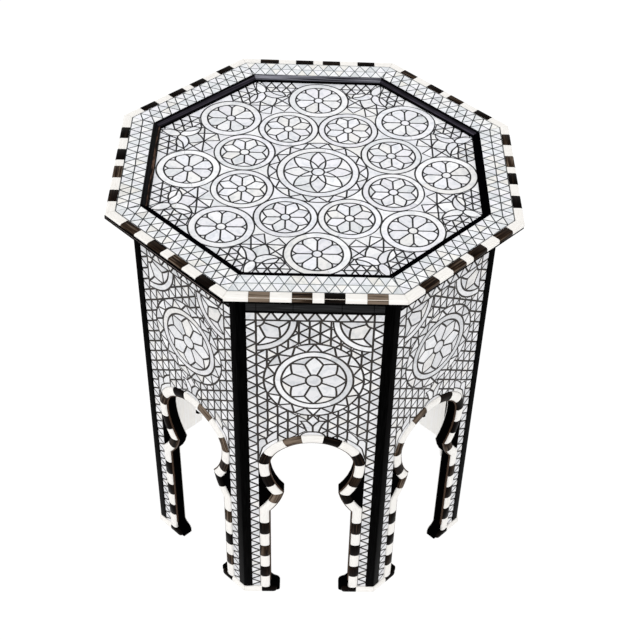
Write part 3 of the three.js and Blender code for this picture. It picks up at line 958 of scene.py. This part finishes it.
def cornerField(masks, wide, chance):
    # Half a corner of the tray in its own frame: x runs out along the corner's axis, y across it. Cut by
    # hand, so the points and bows are a little different each time.
    def near(x, y, drift=0.5):
        return (x + chance.uniform(-drift, drift), y + (chance.uniform(-drift, drift) if y else 0))

    apex, heart, chin, toe = (138.8, 0), (168.0, 0), (161.4, 0), (169.1, 2.7)
    tip, hip, brow = near(152.3, 21.6), near(152.4, 10.3, 0.3), near(123.3, 8.2, 0.3)
    shoulder, armpit = (131.3, 20.0), (149.65, 25.15)
    # the petal's hollow edge, the half moon laid in the hollow, and half of the pointed petal in the corner
    knee = near(167.0, 8.3, 0.2)
    petal = smoothed([toe, near(168.9, 5.3, 0.2), knee, near(162.9, 10.4, 0.4), near(158.6, 13.2, 0.4),
                      near(155.3, 17.0, 0.3), tip])
    moon = smoothed([knee, near(167.0, 12.4), near(164.2, 17.4), near(160.0, 21.4, 0.4), tip])
    sepal = smoothed([toe, (172.4, 4.7), (177.5, 5.6), (182.8, 4.6), (187.3, 2.6), (trayOut / cosine + 1, 0)])
    lines = [
        [chin, heart], [heart, toe], petal, moon, sepal,
        bow(apex, hip, 1.2, 5), bow(hip, chin, -1.3, 5), bow(hip, tip, 0.8, 4), [tip, armpit],
        [apex, brow], [apex, shoulder], [apex, armpit], [shoulder, hip], [brow, shoulder],
    ]
    flower = [(105, 0), (105, 45), armpit] + moon[::-1] + [petal[1], toe] + sepal[1:]
    # rows of triangles along the tray's edge, drawn in the frame of the side and turned to the corner
    rows = (trayOut + 0.6,) + trayInlay["rows"]
    pitch = trayInlay["rowPitch"]
    grid = []
    for r, (row, nextRow) in enumerate(zip(rows, rows[1:])):
        if r:
            grid.append([(10, -row), (90, -row)])
        for k in range(-4, 5):
            foot = trayInlay["nodeAt"] + pitch * (k + (0 if r % 2 else 0.5))
            # the piece between the roundel and the moulding is plain
            for side in (-0.5, 0.5) if r or foot > 27 else ():
                head, tail = Vector((foot, -row)), Vector((foot + side * pitch, -nextRow))
                # the outermost row runs on under the moulding
                grid.append([tuple(head + (head - tail) * (0 if r else 0.4)), tuple(tail)])
    half = [(0, 0), (250, 0), (250, 120), (0, 120)]
    for points in grid:
        for part in trimmed([(x, -y) for x, y in turned(points, 90 - halfTurn)], [half], inside=True):
            lines += trimmed(part, [flower])
    return [(part, wide) for points in lines for part in trimmed(points, masks)]


def trayLines():
    wide, axis = joint["wide"], (0, 0)
    inner, outer, middle = trayInlay["inner"], trayInlay["outer"], trayInlay["centre"]
    chance = random.Random(11)
    innerCentres = [polar(axis, inner["distance"], 22.5 + 45 * k) for k in range(8)]
    outerCentres = [polar(axis, outer["distance"], 45 * k) for k in range(8)]
    lines = rosette(axis, middle, wide) + ringSeams(axis, middle, chance, 3)
    for centres, size, forkTurn in ((innerCentres, inner, 22.5), (outerCentres, outer, 11.25)):
        for centre in centres:
            lines += roundel(centre, size, forkTurn, 0, wide) + ringSeams(centre, size, chance, 2)
    around = [circle(centre, inner["outer"]) for centre in innerCentres]
    beyond = [circle(centre, outer["outer"]) for centre in outerCentres]
    # short joints where two roundels all but touch
    for k in range(8):
        lines += inWidth(trimmed([innerCentres[k], innerCentres[k - 1]], around), wide)
        for other in (k, (k + 1) % 8):
            lines += inWidth(trimmed([innerCentres[k], outerCentres[other]], around + beyond), wide)
    ring = closed(circle(axis, middle["ring"]))
    for points, width in zigzagRing(axis, middle, 0, wide) + [(ring, wide)]:
        lines += inWidth(trimmed(points, around), width)
    # the corner fields, in the frame of the corner at zero degrees
    masks = [circle((inner["distance"], 0), inner["outer"]),
             circle(polar(axis, outer["distance"], halfTurn), outer["outer"])]
    for k in range(8):
        for side in (1, -1):
            for points, width in cornerField(masks, wide, chance):
                lines.append((turned([(x, side * y) for x, y in points], halfTurn + 45 * k), width))
    shiftX, shiftY = trayInlay["shift"]
    return [([(x + shiftX, y + shiftY) for x, y in points], width) for points, width in lines]


def makeTrayInlay():
    outline = [polar((0, 0), trayOut / cosine, -90 + halfTurn + k * sideTurn) for k in range(sideCount)]
    forms = cutTiles("tray", outline, trayLines())

    def toTray(x, y, level):
        return metres(x, y, trayFloor + level)

    whole = layInlay("tray_inlay", outline, forms, 90, toTray, (-letIn, -joint["depth"]),
                     pearl, trayMastic, trayInlay["tones"])
    settle(whole, "mother_of_pearl", "tray_mosaic")


# Mosaic of the border round the tray: two rows of small triangles on each side. The six sides between front
# and back are laid with wider and darker joints.
borderInlay = {
    "width": 24.7, "count": 13, "joint": 0.95, "openJoint": 1.25, "mitre": 0.06, "bed": 0.6,
    "tones": ["#f9fafb", "#f3f5f8", "#f8f8fc", "#f8f8f7", "#edf0f3", "#f6f6fa", "#fcfcfc", "#f6f4ef",
              "#e5e8ea"],
}


def makeBorderInlay():
    inner, outer, count = borderOut - borderInlay["width"], borderOut, borderInlay["count"]
    gap = borderInlay["mitre"]
    outline = [(-outer * slope + gap, -outer), (outer * slope - gap, -outer),
               (inner * slope - gap, -inner), (-inner * slope + gap, -inner)]
    middle = (inner + outer) / 2
    pitch = 2 * middle * slope / count

    def toBorder(x, y, level):
        return metres(x, y, borderTop + level)

    cuts = []
    for wide in (borderInlay["joint"], borderInlay["openJoint"]):
        lines = inWidth([[(-120, level), (120, level)] for level in (-middle, -outer + 0.3)], wide)
        for k in range(-count // 2 - 1, count // 2 + 3):
            at = (k - 0.5) * pitch
            for side in (-1, 1):
                lines.append(([(at + side * pitch * 0.52, -inner + 0.5), (at, -middle)], wide))
                lines.append(([(at, -middle), (at + side * pitch * 0.5, -outer + 0.3)], wide))
        cuts.append(cutTiles("border", outline, lines))
    levels = (borderFoot - borderTop, -joint["depth"] * borderInlay["bed"])
    parts = []
    for k in range(sideCount):
        forms, filler = (cuts[1], masticSlate) if k % 4 else (cuts[0], masticPale)
        part = layInlay("border_part", outline, forms, 120 + k, toBorder, levels,
                        pearlBlue, filler, borderInlay["tones"])
        parts.append(turnPiece(part, k))
    settle(joinPieces("border_inlay", parts), "mother_of_pearl", "border_frame")


# Blocks of bone and dark wood. Each block keeps the way of its grain and its tone as attributes.
def makeBlock(rings, material, ease, up=None, angle=35):
    # The grain runs along the block. Up is the axis that stays, or nothing where the table's own axes do.
    part = sweepRings("block", rings, material)
    easeEdges(part, ease, angle=angle)
    first = rings[0][0]
    places = []
    if up is not None:
        way = (rings[-1][0] - first).normalized()
        across = Vector([float(axis == up) for axis in range(3)]).cross(way)
    for vert in part.data.vertices:
        place = list(vert.co)
        if up is not None:
            place[0], place[3 - up] = (vert.co - first).dot(way), (vert.co - first).dot(across)
        places += place
    part.data.attributes.new("grainPlace", "FLOAT_VECTOR", "POINT").data.foreach_set("vector", places)
    part.data.attributes.new("blockTone", "FLOAT_VECTOR", "FACE")
    return part


def toneBlocks(piece, seed, paleness=()):
    # A tone for each block of a joined piece. Its faces are found by growing from face to face.
    chance = random.Random(seed)
    block = 0
    form = bmesh.new()
    form.from_mesh(piece.data)
    form.faces.ensure_lookup_table()
    layer = form.faces.layers.float_vector["blockTone"]
    done = set()
    for start in form.faces:
        if start in done:
            continue
        pale = paleness[block] if block < len(paleness) else chance.random() ** 2.4
        block += 1
        tone = Vector((pale, chance.uniform(0, 9), chance.uniform(0, 9)))
        queue = [start]
        while queue:
            face = queue.pop()
            done.add(face)
            face[layer] = tone
            queue += [other for edge in face.edges for other in edge.link_faces if other not in done]
    form.to_mesh(piece.data)
    form.free()


def settleBlocks(k, name, nodeName, parts, seed, paleness):
    # Blocks of one side. Every second one is dark, and paleness is theirs alone.
    whole = joinPieces(f"{name}_{k + 1}", parts)
    smoothFaces(whole)
    toneBlocks(whole, seed + k, [0] + [tone for pale in paleness for tone in (pale, 0)])
    settle(turnPiece(whole, k), "bone_and_wood", f"{nodeName}_{k + 1}")


# Half-round band over the arch, as blocks: lengths in millimetres from the crown down to the cusp,
# and from the cusp down the leg.
archBlocks = {
    "left": [11.9, 20.6, 26.5, 16.5, 20.0, 18.5],
    "right": [11.9, 20.8, 24.0, 20.0, 19.5, 18.0],
    "belowCusp": [16.5, 39.5, 20.5, 21.0, 20.0, 21.4, 20.2],
    "seam": 0.2, "drift": 1.3, "ease": 0.35,
    "steps": (16, 14, 14, 8),
    # how pale the dark blocks of some sides are, from the crown down the left half and down the right one
    "tones": {
        0: (0.9, 0.25, 0.1, 0.8, 0.1, 0.5, 0.15, 0.1, 0.15, 0.4, 0.05, 0.35, 0.1, 0.3),
        1: (0.65, 0.6, 0.3, 0.65, 0.2, 0.05, 0.3, 0.15, 0.15, 0.05, 0.5, 0.35, 0.1, 0.05),
        7: (0.0, 0.5, 0.15, 0.35, 0.1, 0.15, 0.0, 0.95, 0.65, 0.35, 0.0, 0.6, 0.05, 0.5),
    },
}

# Section of the band: share of its width, and share of its height above the veneer.
halfRound = [(0, 0), (1, 0)] + [((1 + math.cos(turn)) / 2, 0.22 + 0.78 * math.sin(turn) ** 0.8)
                                for turn in (math.pi * step / 8 for step in range(9))]


def archRoute():
    # Stations down the right half: inner point, outer point, and the way gone along the middle.
    inner, outer = (archHalf(offset, veneerFoot, archBlocks["steps"])
                    for offset in (arch["bareEdge"], arch["bareEdge"] + arch["bandWidth"]))
    stations, gone, last = [], 0.0, None
    for a, b in zip(inner, outer):
        middle = (Vector(a) + Vector(b)) / 2
        if last is not None:
            gone += (middle - last).length
        last = middle
        stations.append((Vector(a), Vector(b), gone))
    return stations, stations[sum(archBlocks["steps"][:3]) + 1][2]


def routeAt(stations, way):
    for (a0, b0, s0), (a1, b1, s1) in zip(stations, stations[1:]):
        if way <= s1:
            share = (way - s0) / (s1 - s0)
            return a0.lerp(a1, share), b0.lerp(b1, share)
    return stations[-1][:2]


def blockRings(stations, start, end, mirror):
    rings = []
    for way in [start] + [s for _, _, s in stations if start + 0.4 < s < end - 0.4] + [end]:
        a, b = routeAt(stations, way)
        places = [(a.lerp(b, across), high) for across, high in halfRound]
        rings.append([metres(mirror * place.x, -(letOut + (bandCrest - letOut) * high), place.y)
                      for place, high in places])
    return rings


def blockMarks(lengths, cuspAt, total, chance):
    # Ways along the band where one block ends and the next begins, each a little off by hand.
    marks, below = [lengths[0]], [cuspAt]
    for row, more in ((marks, lengths[1:]), (below, archBlocks["belowCusp"])):
        for length in more:
            row.append(row[-1] + length + chance.uniform(-1, 1) * archBlocks["drift"])
    return [mark for mark in marks if mark < cuspAt - 6] + below + [total]


def makeArchBlocks():
    stations, cuspAt = archRoute()
    total = stations[-1][2]
    seam = archBlocks["seam"] / 2
    # the crown's block reaches over both halves
    left, right = (blockRings(stations, 0, archBlocks["left"][0] - seam, mirror) for mirror in (-1, 1))
    for k in range(sideCount):
        chance = random.Random(60 + k)
        blocks = [(left[::-1] + right[1:], bone)]
        for mirror, lengths in ((-1, archBlocks["left"]), (1, archBlocks["right"])):
            marks = blockMarks(lengths, cuspAt, total, chance)
            for i, (start, end) in enumerate(zip(marks, marks[1:])):
                last = end - (seam if end < total else 0)
                blocks.append((blockRings(stations, start + seam, last, mirror), bone if i % 2 else darkWood))
        parts = [makeBlock(rings, material, archBlocks["ease"], up=1) for rings, material in blocks]
        settleBlocks(k, "arch_blocks", "arch_band", parts, 200, archBlocks["tones"].get(k, ()))
    print("arch blocks:", len(blocks), "to a side")


# Bare wood edge that shows inside the band.
archEdge = {"width": 1.15, "back": 2.2, "front": 0.1, "foot": 12, "steps": (16, 14, 12, 6)}


def makeArchEdges():
    inner, outer = (archHalf(offset, veneerFoot + archEdge["foot"], archEdge["steps"])
                    for offset in (0.0, archEdge["width"]))
    back, front = faceOut - archEdge["back"], faceOut + archEdge["front"]
    rings = []
    for mirror in (-1, 1):
        half = [[metres(mirror * x, -out, z)
                 for (x, z), out in ((a, back), (b, back), (b, front), (a, front))]
                for a, b in zip(inner, outer)]
        rings += half[::-1] if mirror < 0 else half[1:]
    layRound(sweepRings("arch_edge", rings, edgeWood), "arch_edge", "bare_wood")


# Band round the foot, drawn in the corner's frame: two bone blocks that meet at the mitre, and a dark
# block with a rounded end on each face.
footBlocks = {
    "height": 10.5, "boneEnd": 59.0, "seam": 0.2, "ease": 0.35, "nose": 4.5,
    "end": arch["half"] - 11 + 3.6,  # a little short of the shoe's end
}


def cornerPlace(side, along, out):
    turn = math.radians(halfTurn)
    x = out * math.sin(turn) - along * math.cos(turn)
    y = out * math.cos(turn) + along * math.sin(turn)
    return side * x, -y


def makeFootBlocks():
    seam, boneEnd, end = footBlocks["seam"] / 2, footBlocks["boneEnd"], footBlocks["end"]
    parts = []

    def ringAt(side, along, fullness):
        ring = []
        for across, high in halfRound:
            out = letOut + (bandCrest - letOut) * high * fullness
            level = footBlocks["height"] * (0.5 + (across - 0.5) * fullness)
            # no length along means the mitre at the corner
            at = out * slope - seam if along is None else along
            ring.append(metres(*cornerPlace(side, at, out), level))
        return ring

    for side in (-1, 1):
        rounded = [ringAt(side, boneEnd - seam, 1)]
        for i in range(7):
            angle = math.pi / 2 * i / 6
            along = end + footBlocks["nose"] * (1 - math.sin(angle))
            rounded.append(ringAt(side, along, 0.25 + 0.75 * math.cos(angle)))
        straight = [ringAt(side, None, 1), ringAt(side, boneEnd + seam, 1)]
        for rings, material in ((straight, bone), (rounded, darkWood)):
            parts.append(makeBlock(rings, material, footBlocks["ease"], up=2, angle=50))
    whole = joinPieces("foot_blocks", parts)
    smoothFaces(whole)
    for k, copy in enumerate(layRound(whole, "foot_blocks", "bone_and_wood", "foot_band", corners=True)):
        toneBlocks(copy, 300 + k)


# Edge band of the top: blocks between mitres, with a rounded upper arris.
rimBlocks = {
    "width": 9.9, "arris": 1.8, "seam": 0.14, "ease": 0.25, "corner": 0.15, "drift": 2.5,
    "marks": [-66, -45, -24, -3.5, 8, 29, 50, 71],
    # how pale the four dark blocks of each side are, from its left end
    "tones": [(1.0, 0.5, 0.05, 1.0), (0.5, 0.55, 0.45, 0.45), (0.05, 0.1, 0.6, 0.4), (0.15, 0.4, 0.3, 0.5),
              (0.1, 0.2, 0.05, 0.3), (0.15, 0.2, 0.1, 0.15), (0.1, 0.05, 0.65, 0.45), (0.6, 0.4, 0.6, 0.15)],
}
# The lip under the band is thicker on the left front side and widens towards the front.
edgeLip = {"side": 7, "reach": 2.4, "drop": 1.9, "proud": (0.5, 2.2), "step": (0.12, 0.3), "stepUp": 0.7}


def makeRimBlocks():
    inner, arris = rimOut - rimBlocks["width"], rimBlocks["arris"]
    for k in range(sideCount):
        foot = borderFoot + (edgeLip["reach"] if k == edgeLip["side"] else 0)
        section = [(inner, foot), (rimOut, foot)]
        section += arc((rimOut - arris, borderTop - arris), arris, 0, 90, 6) + [(inner, borderTop)]
        chance = random.Random(400 + k)
        drift = chance.uniform(-rimBlocks["drift"], rimBlocks["drift"]) if k else 0
        ends = [None] + [mark + drift + chance.uniform(-0.6, 0.6) for mark in rimBlocks["marks"]] + [None]
        parts = []
        for i, (start, end) in enumerate(zip(ends, ends[1:])):
            rings = []
            for mark, side in ((start, -1), (end, 1)):
                # no mark means the mitre at the corner
                across = [side * (out * slope - rimBlocks["corner"]) if mark is None
                          else mark - side * rimBlocks["seam"] / 2 for out, _ in section]
                rings.append([metres(x, -out, level) for x, (out, level) in zip(across, section)])
            material = (darkWood if k else arrisHighlightWood) if i % 2 else bone
            parts.append(makeBlock(rings, material, rimBlocks["ease"]))
        settleBlocks(k, "rim_blocks", "rim_band", parts, 500, rimBlocks["tones"][k])
    print("rim blocks made")


def makeEdgeLip():
    inner = rimOut - 5
    foot, head = borderFoot - edgeLip["drop"], borderFoot + edgeLip["reach"] - 0.1
    middle = borderFoot + edgeLip["stepUp"]
    rings = []
    for side, proud, step in zip((-1, 1), edgeLip["proud"], edgeLip["step"]):
        outer = rimOut + proud
        section = [(inner, foot), (outer + step, foot), (outer + step, middle - step), (outer, middle),
                   (outer, head), (inner, head)]
        rings.append([metres(side * (rimOut * slope + 0.3), -out, level) for out, level in section])
    strip = sweepRings("edge_lip_strip", rings, lacquer)
    # the upward and forward faces of the step half way down get a pale finish: a painted highlight
    strip.data.materials.append(edgeHighlight)
    for face in strip.data.polygons:
        face.material_index = int(face.normal.z > 0.3 and face.normal.y < -0.3)
    settle(turnPiece(strip, edgeLip["side"]), "black_lacquer")
    print("edge lip made")


# Black corner strips, with a rounded nose and eased edges.
cornerStrip = {"width": 9.2, "proud": 0.8, "nose": 2.4, "ease": 0.5}


def makeCornerStrips():
    outer, edge, nose = faceOut + cornerStrip["proud"], sideHalf - cornerStrip["width"], cornerStrip["nose"]
    section = [cornerPlace(-1, edge, outer)]
    section += arc((0, -(outer - nose) / cosine), nose, -90 - halfTurn, -90 + halfTurn, 6)
    section += [cornerPlace(1, edge, outer), cornerPlace(1, edge, letOut)]
    section += [(0, -letOut / cosine), cornerPlace(-1, edge, letOut)]
    rings = [[metres(x, y, z) for x, y in section] for z in (veneerFoot, bodyTop)]
    whole = sweepRings("corner_strip", rings, lacquer)
    easeEdges(whole, cornerStrip["ease"], steps=3, angle=50)
    smoothFaces(whole)
    layRound(whole, "corner_strip", "black_lacquer", "corner_post", corners=True)


# The sticks of the tray moulding. The far ones carry painted reflection, grey on the back run and fainter
# on the two beside it, and the left one is worn.
def makeMoulding():
    inner = mouldingOut - moulding["width"]
    rise = borderTop + moulding["crest"] - borderFoot
    profile = moulding["profile"][:2] + smoothed(moulding["profile"][2:], 3)
    section = [(inner + moulding["width"] * out, borderFoot + rise * up) for out, up in profile]
    rings = [[metres(side * (apothem * slope - moulding["mitre"]), -apothem, z) for apothem, z in section]
             for side in (-1, 1)]
    whole = sweepRings("moulding", rings, mouldingLacquer)
    smoothFaces(whole, 40)
    copies = layRound(whole, "moulding", "black_lacquer", "tray_moulding")
    for k, material in ((3, faintReflectionLacquer), (4, paintedReflectionLacquer), (5, faintReflectionLacquer), (6, wornLacquer)):
        copies[k].data.materials[0] = material


# Frieze over the head of each board: five slats of uneven length, brushed lengthwise, over a black bead. The
# slats' dark grey is painted sheen on black lacquer.
frieze = {"foot": 472.0, "beadFoot": 468.8, "back": 0.3, "proud": 0.9, "beadProud": 0.75, "seam": 0.6,
          "ease": 0.15, "marks": [0, 0.075, 0.34, 0.69, 0.92, 1]}


def makeFrieze():
    back = faceOut + frieze["back"]
    slats = [(start, end, frieze["foot"], bodyTop - 0.1, frieze["proud"], friezeSheenLacquer)
             for start, end in zip(frieze["marks"], frieze["marks"][1:])]
    # the bead is plain black lacquer, darker than the slats: a dark strip put where the shadow line under
    # them falls
    slats.append((0, 1, frieze["beadFoot"], frieze["foot"], frieze["beadProud"], lacquer))
    parts = []
    for start, end, foot, head, proud, material in slats:
        deselectAll()
        front = faceOut + proud
        bpy.ops.mesh.primitive_cube_add(
            size=1, location=metres(((start + end) - 1) * veneerHalf, -(back + front) / 2, (foot + head) / 2),
            scale=metres((end - start) * 2 * veneerHalf - frieze["seam"], front - back, head - foot))
        bpy.ops.object.transform_apply(location=True, rotation=True, scale=True)
        part = bpy.context.object
        part.data.materials.append(material)
        easeEdges(part, frieze["ease"], steps=1)
        parts.append(part)
    layRound(joinPieces("frieze", parts), "frieze_slats", "black_lacquer")


# Floor and light.
floorGlow = 0.98
suns = {"soft_daylight": ((14, -9, 0), 1.48, 60), "front_window": ((42, 0, 0), 0.08, 24)}


def makeFloor():
    deselectAll()
    bpy.ops.mesh.primitive_plane_add(size=30, location=(0, 0, 0))
    floor = bpy.context.object
    floor.name = "floor"
    material, shader = newMaterial("pale_floor", "#4a4a4a", 0.8, specular=0.0)
    feed(material, shader, {"Emission Color": (1, 1, 1, 1), "Emission Strength": floorGlow})
    floor.data.materials.append(material)


def makeLights():
    world = bpy.data.worlds.new("studio")
    bpy.context.scene.world = world
    world.use_nodes = True
    # white walls all round under a dimmer ceiling, so that the floor meets the walls without a line
    place = addNode(world, "TexCoord").outputs["Generated"]
    height = addNode(world, "SeparateXYZ", {"Vector": place}).outputs["Z"]
    shade = addNode(world, "ValToRGB", {"Fac": height}, [(0.42, "#ffffff"), (0.75, "#a8a8a8")])
    feed(world, world.node_tree.nodes["Background"], {"Color": shade, "Strength": 1.0})
    for name, (turns, energy, spread) in suns.items():
        deselectAll()
        bpy.ops.object.light_add(type="SUN", rotation=[math.radians(turn) for turn in turns])
        sun = bpy.context.object
        sun.name = name
        sun.data.energy, sun.data.angle = energy, math.radians(spread)
    bpy.context.scene.view_settings.view_transform = "Standard"


makeSideInlays()
makeTrayInlay()
makeBorderInlay()
makeArchBlocks()
makeArchEdges()
makeFootBlocks()
makeRimBlocks()
makeEdgeLip()
makeCornerStrips()
makeMoulding()
makeFrieze()

finishes = {f"side_panel_{k + 1}": boardFinish for k in range(sideCount)}
for nodeName, material in {"top_board": lacquer, "top_frame": frameWood, **finishes}.items():
    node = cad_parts[nodeName]
    node.data.materials.clear()
    node.data.materials.append(material)

makeFloor()
makeLights()
print("scene made")
